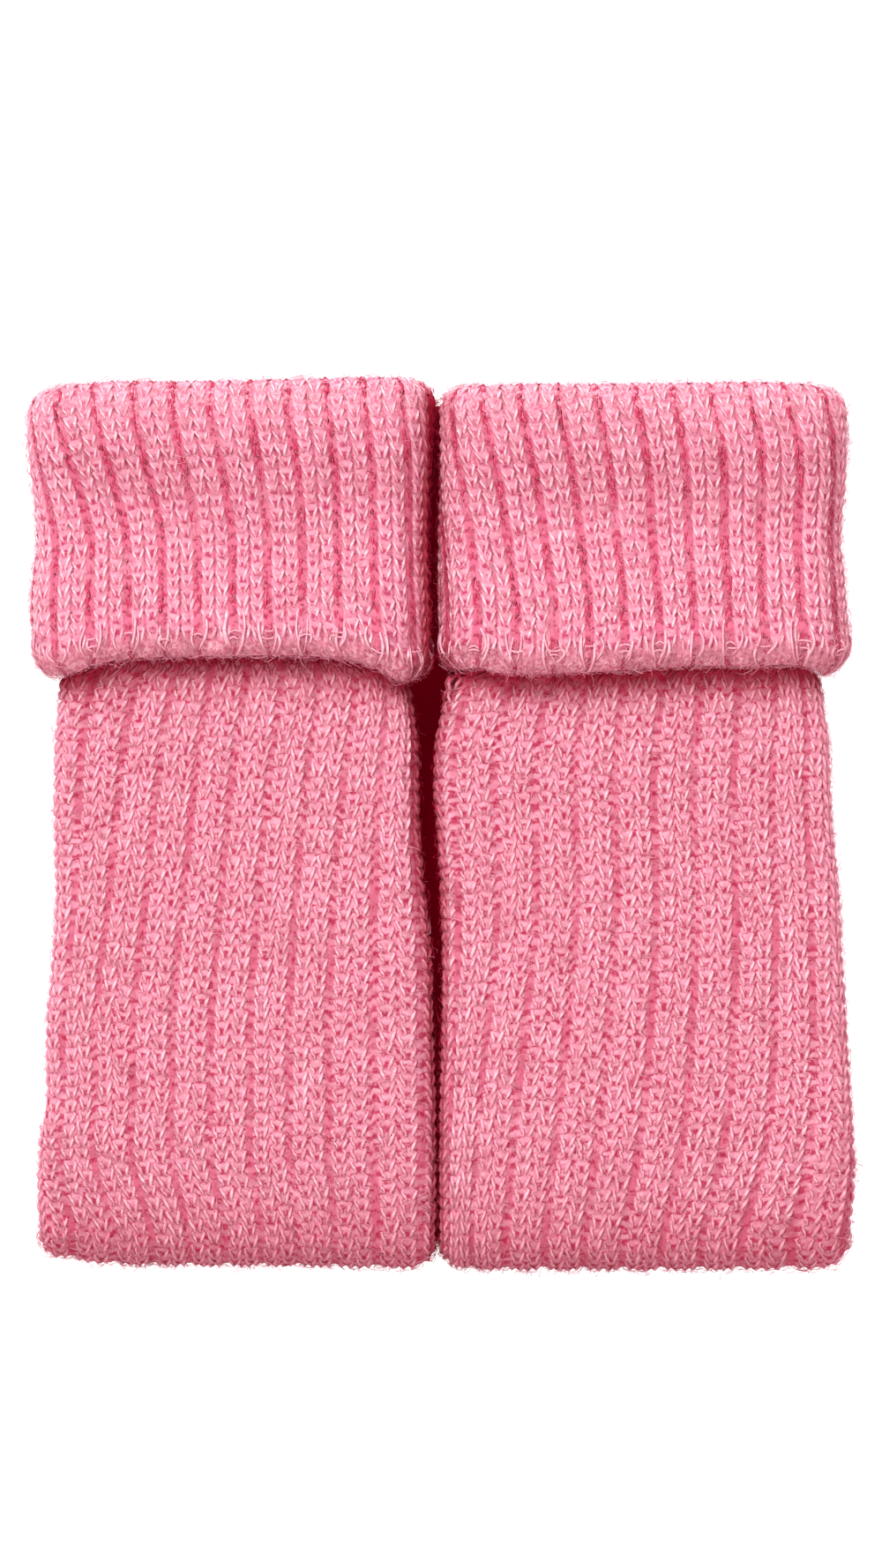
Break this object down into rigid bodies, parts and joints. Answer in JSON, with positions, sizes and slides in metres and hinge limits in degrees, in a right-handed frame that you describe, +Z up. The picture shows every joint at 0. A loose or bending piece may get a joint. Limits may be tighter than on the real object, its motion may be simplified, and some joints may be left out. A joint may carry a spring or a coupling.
{
  "type": "folded pair of ribbed leg warmers",
  "caption": "Pair of soft ribbed knit leg warmers, each folded in half with its top turned down as a deep cuff, lying flat side by side.",
  "frame": {"origin": "middle of the pair's box, on the surface that the pair lies on", "axes": "+Z up from that surface, +Y along the leg warmers from the low fold towards the cuffs, +X across the pair from the left one to the right one"},
  "size_m": [0.2208, 0.2387, 0.03],
  "materials": {
    "leg_knit": "brushed heathered rib knit, matte",
    "cuff_knit": "brushed heathered rib knit, matte"
  },
  "bodies": {
    "root": {"leg_left": "leg_knit", "cuff_left": "cuff_knit", "leg_right": "leg_knit", "cuff_right": "cuff_knit"}
  },
  "joints": []
}
